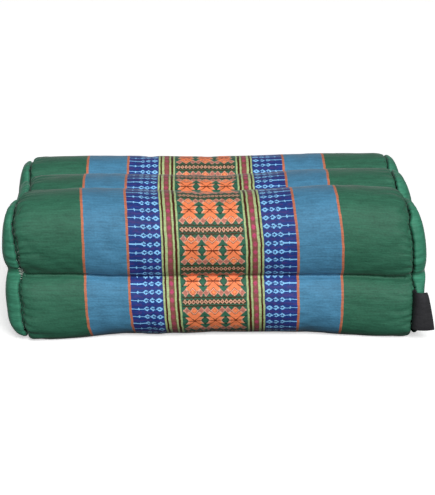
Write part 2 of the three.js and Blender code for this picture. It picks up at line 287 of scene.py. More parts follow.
def outline(x, rounding):
    """The closed outline of the cross-section, as [y, z] points in tube order from the front channel."""
    height, seam_z, pitch = bpy.context.scene.cushion_sizes.height / MM, channel_height(x), half_pitch()
    near_end = mix_rows(SECTIONS["middle"], SECTIONS["near_end"], change(x, SECTION_CHANGES))
    m = mix_rows(near_end, SECTIONS["seam"], rounding)
    channels = [
        (-m["side"], seam_z), (-pitch, m["upper"]), (pitch, m["upper"]),
        (m["side"], seam_z), (pitch, m["lower"]), (-pitch, m["lower"]),
    ]
    channels = [np.array(c, float) for c in channels]
    points = []
    for i, tube in enumerate(TUBES):
        near, seam = (tube["left"], tube["left_seam"]) if x < 0 else (tube["right"], tube["right_seam"])
        share = change(x, TOP_CHANGES if tube["row"] > 0 else BOTTOM_CHANGES)
        shoulder = SHOULDER * change(x, SHOULDER_CHANGES)
        rise = mix(mix(tube["middle"], near, share), seam, mix(shoulder, 1, rounding))
        limit = height + rise if tube["row"] > 0 else rise
        reach = m["reach"] + (float(at_places(FEET, x)) if tube["row"] < 0 else 0)
        centre = np.array([tube["column"] * (pitch + reach) / 2, (seam_z + limit) / 2])
        half = np.array([(reach - pitch) / 2 if tube["column"] else pitch, abs(limit - seam_z) / 2])
        square = m["square_top"]
        if tube["row"] < 0:
            square = mix(SECTIONS["middle"]["square_bottom"], m["square_bottom"], share)
        steps = CORNER_STEPS if tube["column"] else MIDDLE_STEPS
        arc = tube_arc(centre, half, square, channels[i], channels[(i + 1) % 6], steps)
        points.append(arc[:-1])
    points = np.concatenate(points)
    points[:, 1] = np.maximum(points[:, 1], 0)
    return points


def channel_nearness(y, z, seam_z):
    """1 at a channel, 0 at a tube's middle."""
    pitch = half_pitch()
    away = np.where(np.abs(y) > 2 * pitch, np.abs(z - seam_z), np.abs(np.abs(y) - pitch))
    return np.clip(1 - away / CHANNEL_REACH, 0, None)


def seam_at(end, y, z):
    """How far from the cushion's middle an end's seam lies at a place of the section."""
    sizes = bpy.context.scene.cushion_sizes
    middle = sizes.height / MM / 2
    bow = end["bow"] * np.minimum(1, np.abs(z - middle) / middle) ** 3
    lean = end["side"] * end["lean"] * (z - sizes.seam_height / MM)
    dip = np.exp(-(((y - DIP["y"]) / DIP["reach"]) ** 2)) * smooth((z - DIP["bottom"]) / DIP["rise"])
    near = END_PULL * channel_nearness(y, z, channel_height(end["side"] * end["seam"]))
    return end["seam"] - bow - lean - at_places(end["pulls"], z) - end["dip"] * dip - near


def ring(end, share, turn):
    """One ring of the wrap, share of the way from the middle to an end's rounding, then turned round it."""
    x = share * (end["seam"] - ROUNDING) + ROUNDING * math.sin(turn)
    yz = outline(end["side"] * x, 1 - math.cos(turn))
    out = end["side"] * x * seam_at(end, yz[:, 0], yz[:, 1]) / end["seam"]
    return np.column_stack([out, yz])


def inset(points, distance):
    """A ring's points moved towards the inside of the cushion within the seam's plane."""
    ahead, behind = np.roll(points, -1, 0), np.roll(points, 1, 0)
    inward = np.column_stack([np.zeros(len(points)), ahead[:, 2] - behind[:, 2], behind[:, 1] - ahead[:, 1]])
    return points + distance * inward / np.linalg.norm(inward, axis=1)[:, None]


def wrap_rings():
    """The wrap's rings of points from the left seam to the right one."""
    shares = np.linspace(0, 1, RINGS) ** RING_CLOSENESS
    half = {}
    for name, end in ENDS.items():
        rings = [ring(end, s, 0) for s in shares[1:-1]] + [ring(end, 1, t) for t in np.radians(RING_TURNS)]
        seam = rings[-1]
        for distance, out in WRAP_TUCK:
            tucked = inset(seam, distance)
            tucked[:, 0] = seam[:, 0] + end["side"] * out
            rings.append(tucked)
        half[name] = rings
    middle = mix(ring(ENDS["left"], 0, 0), ring(ENDS["right"], 0, 0), 0.5)
    return half["left"][::-1] + [middle] + half["right"]


def dome(end, edges, y, z):
    """How far a panel stands out past its hem at a place, whose distances in from the hem are given."""
    pitch, seam_z = half_pitch(), channel_height(end["side"] * end["seam"])
    swell = 1.0
    for edge, width in (("side", SWELL_SIDE), ("top", end["top"]), ("bottom", end["bottom"])):
        swell = swell * np.sqrt(1 - (1 - np.clip(edges[edge] / width, 0, 1)) ** 2)
    out = mix(end["lower"], end["upper"], smooth((z - seam_z) / pitch + 0.5)) - HEM_RISE
    for away, depth in ((np.abs(np.abs(y) - pitch), CREASE_DEPTH), (np.abs(z - seam_z), end["notch"])):
        out = out - depth * np.clip(1 - away / CREASE_WIDTH, 0, None) ** 2
    return out * swell * mix(end["middle"], 1, smooth(np.abs(y) / pitch))


def end_grid(end, hem, start, flatter=0.0):
    """A grid across an end whose border is the hem ring, that starts at this vertex number.

    Gives the new points inside it and the vertex numbers of all its places.
    """
    across, high, count = CORNER_STEPS + MIDDLE_STEPS, CORNER_STEPS, len(hem)
    corner = CORNER_STEPS // 2
    border = [[0] * (across + 1) for _ in range(high + 1)]
    for i in range(across + 1):
        border[0][i] = (corner + i) % count
        border[high][i] = (corner + 2 * across + high - i) % count
    for j in range(high + 1):
        border[j][across] = (corner + across + j) % count
        border[j][0] = (corner + 2 * across + 2 * high - j) % count
    top, bottom = hem[border[0]], hem[border[high]]
    front, back = hem[[row[0] for row in border]], hem[[row[across] for row in border]]
    s = np.linspace(0, 1, across + 1)[None, :, None]
    t = np.linspace(0, 1, high + 1)[:, None, None]
    grid = (1 - t) * top[None] + t * bottom[None] + (1 - s) * front[:, None] + s * back[:, None]
    grid = grid - (1 - s) * (1 - t) * top[0] - s * (1 - t) * top[-1]
    grid = grid - (1 - s) * t * bottom[0] - s * t * bottom[-1]
    x, y, z = grid[..., 0], grid[..., 1], grid[..., 2]
    for _ in range(EVEN_ROUNDS):
        x[1:-1, 1:-1] = (x[:-2, 1:-1] + x[2:, 1:-1] + x[1:-1, :-2] + x[1:-1, 2:]) / 4
    edges = {
        "side": np.minimum(y - front[:, None, 1], back[:, None, 1] - y),
        "top": top[None, :, 2] - z,
        "bottom": z - bottom[None, :, 2],
    }
    grid[..., 0] = x + end["side"] * np.maximum(dome(end, edges, y, z) - flatter, 0)
    numbers = np.array(border) + start
    numbers[1:-1, 1:-1] = start + count + np.arange((high - 1) * (across - 1)).reshape(high - 1, across - 1)
    return grid[1:-1, 1:-1].reshape(-1, 3), numbers


def quads_between(first, second, count, outward=True):
    """Faces between two rings of vertices, given by their first numbers, for a second ring further along."""
    faces = []
    for k in range(count):
        n = (k + 1) % count
        face = [first + k, second + k, second + n, first + n]
        faces.append(face if outward else face[::-1])
    return faces


def quads_of(numbers, outward):
    faces = []
    for j in range(numbers.shape[0] - 1):
        for i in range(numbers.shape[1] - 1):
            face = [numbers[j, i], numbers[j, i + 1], numbers[j + 1, i + 1], numbers[j + 1, i]]
            faces.append([int(v) for v in (face if outward else face[::-1])])
    return faces


def cloth_steps():
    """For each step round the section: its tube, and the lengths of cloth from the tube's first channel to
    the step's two ends and to the tube's second channel."""
    found = []
    middle = outline(0, 0)
    steps = np.linalg.norm(np.roll(middle, -1, 0) - middle, axis=1)
    for tube in TUBES:
        first = len(found)
        count = CORNER_STEPS if tube["column"] else MIDDLE_STEPS
        along = np.concatenate([[0], np.cumsum(steps[first:first + count])])
        found += [(tube, start, end, along[-1]) for start, end in zip(along, along[1:])]
    return found


def on_cloth(tube, along, x):
    """The place in the woven pattern of a point of a tube, across and along the cloth."""
    rows = np.array(SLIPS[tube["name"]])
    slips = [np.interp(along, rows[:, 0], rows[:, 1 + k]) for k in range(3)]
    x = x - bpy.context.scene.cloth_pattern.centre / MM
    return x - float(np.interp(x, SLIP_PLACES, slips)), along + tube["phase"]


def new_piece(name, points, faces, cloth):
    """A mesh object at the origin from millimetre points, with a UV map in metres of cloth."""
    mesh = bpy.data.meshes.new(name)
    mesh.from_pydata([tuple(p) for p in np.asarray(points) * MM], [], faces)
    layer = mesh.uv_layers.new(name="Cloth")
    layer.data.foreach_set("uv", (np.asarray(cloth, dtype=np.float32) * MM).ravel())
    piece = bpy.data.objects.new(name, mesh)
    bpy.context.scene.collection.objects.link(piece)
    return piece


def make_active(piece):
    bpy.ops.object.select_all(action="DESELECT")
    piece.select_set(True)
    bpy.context.view_layer.objects.active = piece


def read(items, name, size):
    """A value of this size from each of a mesh's items, as rows."""
    flat = np.empty(len(items) * size, dtype=np.float32)
    items.foreach_get(name, flat)
    return flat.reshape(-1, size).astype(float)


def coordinates(piece):
    return read(piece.data.vertices, "co", 3)


def set_coordinates(piece, points):
    piece.data.vertices.foreach_set("co", np.asarray(points, dtype=np.float32).ravel())
    piece.data.update()


def normals(piece):
    return read(piece.data.vertices, "normal", 3)


def apply_modifiers(piece):
    make_active(piece)
    for modifier in list(piece.modifiers):
        bpy.ops.object.modifier_apply(modifier=modifier.name)


def thicken(piece, thickness, offset):
    make_active(piece)
    bpy.ops.object.modifier_add(type="SOLIDIFY")
    piece.modifiers[-1].thickness = thickness * MM
    piece.modifiers[-1].offset = offset
    apply_modifiers(piece)


def finer(piece):
    make_active(piece)
    bpy.ops.object.modifier_add(type="SUBSURF")
    piece.modifiers[-1].levels = piece.modifiers[-1].render_levels = 1
    apply_modifiers(piece)


def settle(piece, held, slack):
    """Blows the cloth up a little between its held points, and gives the points from before and each one's
    move, held to the furthest move.
    """
    before = coordinates(piece)
    group = piece.vertex_groups.new(name="held")
    group.add([int(i) for i in held], 1.0, "REPLACE")
    make_active(piece)
    bpy.ops.object.modifier_add(type="CLOTH")
    cloth = piece.modifiers[-1]
    settings = cloth.settings
    for name, value in CLOTH.items():
        setattr(settings, name, value)
    settings.vertex_group_mass = group.name
    settings.shrink_min = -slack
    settings.effector_weights.gravity = 0
    cloth.point_cache.frame_start, cloth.point_cache.frame_end = 1, FRAMES
    for number in range(1, FRAMES + 1):
        bpy.context.scene.frame_set(number)
    apply_modifiers(piece)
    bpy.context.scene.frame_set(1)
    piece.vertex_groups.remove(piece.vertex_groups["held"])
    moved = coordinates(piece) - before
    length = np.linalg.norm(moved, axis=1)
    moved *= (np.minimum(length, FURTHEST_MOVE) / np.maximum(length, 1e-9))[:, None]
    return before, moved


def neighbour_mean(piece, values, rounds):
    """The values smoothed over the mesh, each round averaging a point with its neighbours."""
    edges = np.empty(len(piece.data.edges) * 2, dtype=np.int32)
    piece.data.edges.foreach_get("vertices", edges)
    a, b = edges.reshape(-1, 2).T
    count = np.bincount(a, minlength=len(values)) + np.bincount(b, minlength=len(values))
    for _ in range(rounds):
        total = np.zeros_like(values)
        np.add.at(total, a, values[b])
        np.add.at(total, b, values[a])
        values = 0.5 * values + 0.5 * total / count[:, None]
    return values


def set_point_values(piece, name, values):
    layer = piece.data.attributes.new(name, "FLOAT", "POINT")
    layer.data.foreach_set("value", np.asarray(values, dtype=np.float32))


def point_values(piece, name):
    return read(piece.data.attributes[name].data, "value", 1)[:, 0]


def drop_point_values(piece, *names):
    for name in names:
        piece.data.attributes.remove(piece.data.attributes[name])


def puckers(along, away, creases, seed=0):
    """Depth of the small pulled creases that start at a seam, one in ten of them a long one.

    along is the place along the seam and away the distance from it, both in millimetres, for each point.
    """
    random = np.random.RandomState(creases["seed"] + seed)
    depth = creases["share"] * bpy.context.scene.cushion_sizes.pucker / MM
    sunk = np.zeros(len(along))
    place = along.min()
    while place < along.max():
        place += creases["spacing"] * random.uniform(*CREASE_SPACING)
        long_one = random.rand() < LONG_SHARE
        length = creases["reach"] * random.uniform(*CREASE_LENGTH) * (LONG_LENGTH if long_one else 1.0)
        drift = random.uniform(*CREASE_DRIFT)
        wide = creases["width"] * random.uniform(*CREASE_WIDE)
        deep = depth * random.uniform(*CREASE_DEEP)
        centre = place + drift * away
        near = (away < length) & (np.abs(along - centre) < 3 * wide)
        fade = (1 - np.clip(away[near] / length, 0, 1)) ** 1.4
        spread = wide * (1 + 0.6 * away[near] / length)
        sunk[near] += deep * fade * np.exp(-((along[near] - centre[near]) / spread) ** 2)
    return sunk


# The patterned wrap

# A place in the pattern where the cloth is plain green, for what lies under the end panels.
PLAIN_GROUND = (150, 0)


def wrap_mesh():
    """The wrap as rings of points, closed at each end by a dome that lies under the end panel."""
    rings = wrap_rings()
    count = len(rings[0])
    points = [np.concatenate(rings)]
    faces, cloth = [], []
    steps = list(enumerate(cloth_steps()))
    first, last = (
        [[on_cloth(step[0], step[1 + end], one[(k + end) % count, 0]) for k, step in steps] for one in rings]
        for end in (0, 1)
    )
    for s in range(len(rings) - 1):
        faces += quads_between(s * count, (s + 1) * count, count)
        for k in range(count):
            cloth += [first[s][k], first[s + 1][k], last[s + 1][k], last[s][k]]
    total = len(points[0])
    for end, seam in ((ENDS["left"], 0), (ENDS["right"], len(rings) - 1)):
        inner = inset(rings[seam], CLOSING_INSET)
        inner[:, 0] += end["side"] * CLOSING_OUT
        grid, numbers = end_grid(end, inner, total, flatter=CLOSING_FLATTER)
        points += [inner, grid]
        closing = quads_of(numbers, outward=end["side"] < 0)
        lower, upper = (total, 0) if end["side"] < 0 else (seam * count, total)
        closing += quads_between(lower, upper, count)
        faces += closing
        cloth += [PLAIN_GROUND] * (4 * len(closing))
        total += len(inner) + len(grid)
    return np.concatenate(points), faces, cloth, rings


def wrap_places(rings, extra):
    """For each point: how far round the section it lies, and how far from the nearest channel."""
    steps = cloth_steps()
    around = np.concatenate([[0], np.cumsum([end - start for tube, start, end, whole in steps])[:-1]])
    channel = [min(start, whole - start) for tube, start, end, whole in steps]
    filler = [0.0] * extra
    return list(around) * len(rings) + filler, channel * len(rings) + filler


class CUSHION_OT_wrap(bpy.types.Operator):
    """Makes the patterned cloth with its stuffed tubes, channels and puckered ends"""

    bl_idname = "cushion.wrap"
    bl_label = "Patterned Wrap"

    def execute(self, context):
        points, faces, cloth, rings = wrap_mesh()
        piece = new_piece("patterned_wrap", points, faces, cloth)
        count = len(rings[0])
        around, channel = wrap_places(rings, len(points) - count * len(rings))
        set_point_values(piece, "around", around)
        set_point_values(piece, "channel", channel)
        sizes = context.scene.cushion_sizes
        tucked = len(WRAP_TUCK) + 1
        held = set(range(count * len(rings), len(points)))
        for s in list(range(tucked)) + list(range(len(rings) - tucked, len(rings))):
            held.update(range(s * count, (s + 1) * count))
        held.update(i for i in range(count * len(rings)) if channel[i] == 0)
        before, moved = settle(piece, sorted(held), sizes.slack)
        wrinkles = moved - neighbour_mean(piece, moved, WRINKLE_ROUNDS)
        set_coordinates(piece, before + sizes.wrinkle * wrinkles)
        finer(piece)
        self.pucker(piece)
        drop_point_values(piece, "around", "channel")
        make_active(piece)
        bpy.ops.object.shade_smooth()
        piece.data.materials.append(patterned_cloth())
        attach(piece, "root")
        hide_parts("cushion_body")
        return {"FINISHED"}

    def pucker(self, piece):
        """Sinks the valleys of the sewing, the pulled creases beside them and the small tucks."""
        points = coordinates(piece) / MM
        x, y, z = points.T
        around, channel = point_values(piece, "around"), point_values(piece, "channel")
        off_channel = channel > 0.01
        sunk = np.zeros(len(points))
        uneven = 0.9 + 0.35 * np.sin(around / 2.3) + 0.3 * np.sin(around / 5.1 + 1)
        depth, width = SEAM_VALLEY
        for number, end in enumerate(ENDS.values()):
            away = seam_at(end, y, z) - end["side"] * x
            near = (away > SEAM_ZONE[0]) & (away < SEAM_ZONE[1]) & off_channel
            for creases in SEAM_CREASES:
                sunk[near] += puckers(around[near], np.maximum(away[near], 0), creases, number)
            sunk += depth * uneven * np.exp(-((away / width) ** 2)) * off_channel
        beside = (channel < CHANNEL_SIDE) & (np.abs(x) < CHANNEL_END)
        for number, (front, back, low, high) in enumerate(CHANNEL_ZONES):
            near = (y > front) & (y < back) & (z > low) & (z < high) & beside
            sunk[near] += puckers(x[near], channel[near], CHANNEL_CREASES, number)
        depth, width = CHANNEL_VALLEY
        sewn = (z > VALLEY_ABOVE) & (np.abs(x) < VALLEY_END)
        sunk += depth * np.exp(-((channel / width) ** 2)) * sewn
        for *place, depth, reach in TUCKS:
            sunk += depth * np.exp(-(np.sum((points - place) ** 2, axis=1) / reach**2))
        points = points - sunk[:, None] * normals(piece)
        points[:, 2] = np.maximum(points[:, 2], FLOOR_GAP)
        set_coordinates(piece, points * MM)


# The end panels

class CUSHION_OT_end_panels(bpy.types.Operator):
    """Makes the plain cloth panels that the filling pushes out at the two ends"""

    bl_idname = "cushion.end_panels"
    bl_label = "End Panels"

    def execute(self, context):
        material = plain_cloth()
        seams = wrap_rings()
        for name, end in ENDS.items():
            tucked = seams[0] if end["side"] < 0 else seams[-1]
            piece = self.panel("end_panel_cloth_" + name, end, tucked)
            piece.data.materials.append(material)
            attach(piece, "root")
            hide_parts("end_panel_" + name)
        return {"FINISHED"}

    def panel(self, name, end, tucked):
        """The hem's rings and the domed cloth within them, as one sheet with a thickness."""
        outline_out = inset(tucked, -WRAP_TUCK[-1][0])
        seam_x = tucked[:, 0] - end["side"] * WRAP_TUCK[-1][1]
        rings = []
        for distance, out in PANEL_HEM:
            hem = inset(outline_out, distance)
            hem[:, 0] = seam_x + end["side"] * out
            rings.append(hem)
        count = len(tucked)
        grid, numbers = end_grid(end, rings[-1], count * (len(rings) - 1))
        points = np.concatenate(rings + [grid])
        faces = []
        for s in range(len(rings) - 1):
            faces += quads_between(s * count, (s + 1) * count, count, outward=end["side"] > 0)
        faces += quads_of(numbers, outward=end["side"] < 0)
        cloth = [(points[v, 1], points[v, 2]) for face in faces for v in face]
        piece = new_piece(name, points, faces, cloth)
        border = lengths(rings[-1])
        inside = np.linalg.norm(rings[-1][None, :, 1:] - grid[:, None, 1:], axis=2)
        along = np.concatenate([np.tile(border, len(rings)), border[inside.argmin(1)]])
        set_point_values(piece, "along", along)
        set_point_values(piece, "away", np.concatenate([np.zeros(count * len(rings)), inside.min(1)]))
        finer(piece)
        self.pucker(piece, end)
        drop_point_values(piece, "along", "away")
        thicken(piece, 1.0, -1)
        bpy.ops.object.shade_smooth()
        return piece

    def pucker(self, piece, end):
        """Sinks the pulled creases that start at the panel's hem."""
        away = point_values(piece, "away")
        sunk = puckers(point_values(piece, "along"), away, PANEL_CREASES, end["side"]) * (away <= 30)
        set_coordinates(piece, coordinates(piece) - sunk[:, None] * normals(piece) * MM)


# The side label

# Its lower and upper edge, the ribbon, how far it reaches to the right at the two edges and to the
# front, and its mesh steps up, along and round the fold.
LABEL = {
    "low": 10.5, "high": 42.5, "thickness": 0.6, "gap": 0.8,
    "reach_low": 15.5, "reach_high": 8.5, "forward": 11,
    "rows": 25, "steps": 24, "fold_steps": 7,
}


class CUSHION_OT_side_label(bpy.types.Operator):
    """Makes the folded ribbon label that is caught in the right end seam, with nothing on it"""

    bl_idname = "cushion.side_label"
    bl_label = "Side Label"

    def execute(self, context):
        offset = (LABEL["gap"] + LABEL["thickness"]) / 2
        rows = []
        for z in np.linspace(LABEL["low"], LABEL["high"], LABEL["rows"]):
            line = self.line(z)
            side = np.gradient(line, axis=0)
            side = np.column_stack([-side[:, 1], side[:, 0], np.zeros(len(line))])
            side /= np.linalg.norm(side, axis=1)[:, None]
            turn = np.linspace(-math.pi / 2, math.pi / 2, LABEL["fold_steps"])[1:-1]
            ahead = np.array([side[-1, 1], -side[-1, 0], 0])
            fold = [line[-1] + offset * (math.sin(t) * side[-1] + math.cos(t) * ahead) for t in turn]
            rows.append(np.concatenate([line - offset * side, fold, (line + offset * side)[::-1]]))
        rows = np.array(rows)
        high, across = rows.shape[:2]
        along = lengths(rows[0])
        numbers = np.arange(high * across).reshape(high, across)
        faces = quads_of(numbers, outward=False)
        cloth = [(along[v % across], rows[v // across, 0, 2]) for face in faces for v in face]
        piece = new_piece("side_label_ribbon", rows.reshape(-1, 3), faces, cloth)
        thicken(piece, LABEL["thickness"], 0)
        bpy.ops.object.shade_smooth_by_angle(angle=math.radians(50))
        piece.data.materials.append(label_ribbon())
        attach(piece, "root")
        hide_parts("side_label")
        return {"FINISHED"}

    def line(self, z):
        """The label's line at one height, out of the seam and round to the right."""
        share = (z - LABEL["low"]) / (LABEL["high"] - LABEL["low"])
        reach = mix(LABEL["reach_low"], LABEL["reach_high"], share)
        root = front_of(wrap_rings()[-1], z)[:2]
        forward = LABEL["forward"]
        bends = root + np.array([
            (1.2, -1.4), (-1.1, -0.5 * forward), (0.06 * reach, -0.92 * forward),
            (0.55 * reach, -forward - 0.6), (reach, -0.9 * forward),
        ])
        line = curve_through(bends, LABEL["steps"])
        return np.column_stack([line, np.full(len(line), z)])


# How far from the cushion's middle its front begins.
FRONT = -60


def front_of(rim, z):
    """The point at one height on the front of a ring."""
    front = rim[rim[:, 1] < FRONT]
    front = front[np.argsort(front[:, 2])]
    return at_length(front, front[:, 2], z)


# The sewing thread along the end seams and the hand stitches at the left one.
SEAM_STITCH = {"pitch": 4.2, "half": 1.3, "inset": -0.9, "lift": 0.3, "radius": 0.22}
HAND_STITCH = {"low": 53, "high": 61, "count": 7, "radius": 0.3, "tilts": (-0.4, 0.7)}


class CUSHION_OT_stitches(bpy.types.Operator):
    """Makes the sewing thread along the end seams, with the hand stitches that close the left one"""

    bl_idname = "cushion.stitches"
    bl_label = "Stitches"

    def execute(self, context):
        rings = wrap_rings()
        thread = thread_material("Seam Thread", dyed(18, 46, 34))
        for name, rim in (("left", rings[0]), ("right", rings[-1])):
            ring = inset(rim, SEAM_STITCH["inset"])
            ring[:, 0] += ENDS[name]["side"] * SEAM_STITCH["lift"]
            along = lengths(ring)
            places = np.arange(0, along[-1], SEAM_STITCH["pitch"])
            starts, stops = (at_length(ring, along, places + d * SEAM_STITCH["half"]) for d in (-1, 1))
            piece = self.sew("seam_thread_" + name, zip(starts, stops), SEAM_STITCH["radius"], thread)
            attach(piece, "root")
        threads = []
        heights = np.linspace(HAND_STITCH["low"], HAND_STITCH["high"], HAND_STITCH["count"])
        for number, z in enumerate(heights):
            root = front_of(rings[0], z)
            tilt = HAND_STITCH["tilts"][number % 2]
            bends = [root + bend for bend in ((2.6, -2.5, tilt), (0.2, -3.8, 0), (-2.8, -2.6, -tilt))]
            threads += zip(bends, bends[1:])
        thread = thread_material("Hand Thread", dyed(205, 215, 205))
        piece = self.sew("hand_stitches", threads, HAND_STITCH["radius"], thread)
        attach(piece, "root")
        return {"FINISHED"}

    def sew(self, name, threads, radius, material):
        """Lays one short thread, a stretched sphere, along every pair of points, as one piece with even
        normals.
        """
        bpy.ops.object.select_all(action="DESELECT")
        bpy.ops.mesh.primitive_uv_sphere_add(segments=6, ring_count=6, radius=1)
        sample = bpy.context.active_object
        shape = coordinates(sample)
        rounds = [tuple(f.vertices) for f in sample.data.polygons]
        bpy.data.objects.remove(sample)
        points, faces = [], []
        for a, b in threads:
            ahead = (b - a) / 2
            aside = np.cross(ahead, (0.3, 0.2, 1.0))
            aside *= radius / np.linalg.norm(aside)
            up = np.cross(ahead, aside)
            up *= radius / np.linalg.norm(up)
            start = len(points) * len(shape)
            turned = shape[:, :1] * aside + shape[:, 1:2] * up + shape[:, 2:] * ahead * 1.1
            points.append((a + b) / 2 + turned)
            faces += [[start + v for v in face] for face in rounds]
        points = np.concatenate(points)
        cloth = [(points[v, 0], points[v, 2]) for face in faces for v in face]
        piece = new_piece(name, points, faces, cloth)
        make_active(piece)
        bpy.ops.object.mode_set(mode="EDIT")
        bpy.ops.mesh.select_all(action="SELECT")
        bpy.ops.mesh.normals_make_consistent(inside=False)
        bpy.ops.object.mode_set(mode="OBJECT")
        bpy.ops.object.shade_smooth()
        piece.data.materials.append(material)
        return piece


def curve_through(points, steps):
    """A smooth line through the points, as even steps."""
    points = np.vstack([2 * points[0] - points[1], points, 2 * points[-1] - points[-2]])
    line = []
    for a, b, c, d in zip(points, points[1:], points[2:], points[3:]):
        for t in np.linspace(0, 1, 16, endpoint=False):
            square, cube = 2 * a - 5 * b + 4 * c - d, 3 * b - a - 3 * c + d
            line.append(0.5 * (2 * b + (c - a) * t + square * t**2 + cube * t**3))
    line = np.array(line + [points[-2]])
    along = lengths(line)
    return at_length(line, along, np.linspace(0, along[-1], steps))


# Materials

def dyed(*screen):
    """A shader colour from screen values of 0 to 255."""
    return tuple(((c / 255 + 0.055) / 1.055) ** 2.4 if c > 10 else c / 255 / 12.92 for c in screen)


def math_step(kind):
    """A method that takes a shader value through a Math node of this kind."""
    return lambda value, *others: value.step(kind, *others)


class Reading:
    """A shader value that can be reckoned with like a number, each step a Math node."""

    __add__ = math_step("ADD")
    __sub__ = math_step("SUBTRACT")
    __mul__ = math_step("MULTIPLY")
    __truediv__ = math_step("DIVIDE")
    __mod__ = math_step("FLOORED_MODULO")
    __lt__ = math_step("LESS_THAN")
    __gt__ = math_step("GREATER_THAN")
    __abs__ = math_step("ABSOLUTE")

    def __init__(self, tree, source):
        self.tree, self.source = tree, source

    def step(self, kind, *others):
        node = self.tree.nodes.new("ShaderNodeMath")
        node.operation = kind
        for socket, value in zip(node.inputs, (self,) + others):
            if isinstance(value, Reading):
                self.tree.links.new(value.source, socket)
            else:
                socket.default_value = value
        return Reading(self.tree, node.outputs[0])

    def within(self, low, high):
        return (self > low) * (self < high)

    def off(self, centre):
        """The distance from a value."""
        return abs(self - centre)

    def folded(self, pitch):
        """The distance from the nearest multiple of a pitch."""
        return abs((self + pitch / 2) % pitch - pitch / 2)

    def turned(self):
        """A mask turned round."""
        return self * -1.0 + 1.0

    def threads(self, pitch):
        """The value held still across each thread."""
        return (self / pitch).step("FLOOR") * pitch + pitch / 2


class Paint:
    """A colour that others are laid over through masks, each a Mix node."""

    def __init__(self, tree, colour):
        self.tree, self.colour = tree, colour

    def lay(self, mask, colour):
        node = self.tree.nodes.new("ShaderNodeMix")
        node.data_type = "RGBA"
        for number, value in ((0, mask.source), (6, self.colour), (7, colour)):
            if isinstance(value, bpy.types.NodeSocket):
                self.tree.links.new(value, node.inputs[number])
            else:
                node.inputs[number].default_value = (*value, 1)
        self.colour = node.outputs[2]
        return self


def effect(name, inputs, outputs):
    """An empty node group, with the nodes that its inputs come from and its outputs go to."""
    tree = bpy.data.node_groups.new(name, "ShaderNodeTree")
    for way, sockets in (("INPUT", inputs), ("OUTPUT", outputs)):
        for label, kind in sockets:
            tree.interface.new_socket(label, in_out=way, socket_type=kind)
    return tree, tree.nodes.new("NodeGroupInput"), tree.nodes.new("NodeGroupOutput")


def parts(tree, vector):
    """A reading of each of a vector's three parts."""
    split = tree.nodes.new("ShaderNodeSeparateXYZ")
    tree.links.new(vector, split.inputs[0])
    return [Reading(tree, part) for part in split.outputs]


def new_material(name):
    """A material, its node tree and its shader."""
    material = bpy.data.materials.new(name)
    material.use_nodes = True
    return material, material.node_tree, material.node_tree.nodes["Principled BSDF"]


def noise(tree, vector, stretch, detail=1.0):
    """Noise from 0 to 1 whose lumps are as large as stretch gives, in metres."""
    sized = tree.nodes.new("ShaderNodeVectorMath")
    sized.operation = "DIVIDE"
    tree.links.new(vector, sized.inputs[0])
    sized.inputs[1].default_value = stretch
    node = tree.nodes.new("ShaderNodeTexNoise")
    node.inputs["Scale"].default_value = 1.0
    node.inputs["Detail"].default_value = detail
    tree.links.new(sized.outputs[0], node.inputs["Vector"])
    return Reading(tree, node.outputs["Fac"])


# The woven stripes, from and to how far they lie from the middle of the star band, each laid over those
# before it. A name stands for one of the user's colours.
DARK = dyed(72, 28, 8)
STRIPES = (
    (27, 41.5, "light_green"), (28.6, 30.4, DARK), (38.35, 40.15, DARK), (32.1, 36.7, dyed(112, 96, 52)),
    (32.5, 36.3, dyed(138, 80, 74)), (41.5, 68, "navy"), (68, 106.2, dyed(195, 115, 85)), (70.2, 104, "blue"),
)
STAR_BAND, STAR_PITCH = 25.8, 17
NAVY_BAND = (41.5, 68)

# The thickness of a thread across and along the cloth.
WARP, WEFT = 0.5, 0.55


def woven_bands():
    """The wrap's woven bands and motifs, laid out in millimetres across and along the cloth."""
    tree, source, result = effect(
        "Woven Bands",
        [("Cloth", "NodeSocketVector")],
        [("Color", "NodeSocketColor")],
    )
    shades = bpy.context.scene.cloth_pattern
    cloth = source.outputs["Cloth"]
    across, along = parts(tree, cloth)[:2]
    wander_u, wander_v = (noise(tree, cloth, lumps) - 0.5 for lumps in ((0.009, 0.006, 1), (0.006, 0.009, 1)))
    u = (across / MM + wander_u * 0.9).threads(WARP)
    v = (along / MM + wander_v * 0.9).threads(WEFT)
    paint = Paint(tree, tuple(shades.green))
    for low, high, colour in STRIPES:
        colour = getattr(shades, colour) if isinstance(colour, str) else colour
        paint.lay(abs(u).within(low, high), tuple(colour))
    repeat = shades.repeat / MM
    small = (v + shades.small_start / MM).folded(repeat / 5)
    stars(paint, u, v.folded(repeat), tuple(shades.orange))
    chains(paint, u, v.folded(repeat).off(repeat / 2))
    # The magenta diamonds are woven, but they are laid at full strength only in random noise patches: painted
    # sheen, standing in for light that brightens them.
    painted_sheen = (noise(tree, cloth, (0.4, 0.035, 1)) * 3.2 - 1.1).step("MAXIMUM", 0.2).step("MINIMUM", 1.0)
    magenta = abs(u).off(34.4) / 1.9 + small / 2.4 < 1
    paint.lay(magenta * abs(u).within(32.1, 36.7) * painted_sheen, dyed(205, 66, 118))
    streaks = noise(tree, cloth, (0.004, 0.0012, 1)) > 0.47
    navy_motifs(paint, abs(u), small, streaks, tuple(shades.cyan))
    tree.links.new(paint.colour, result.inputs[0])
    return tree


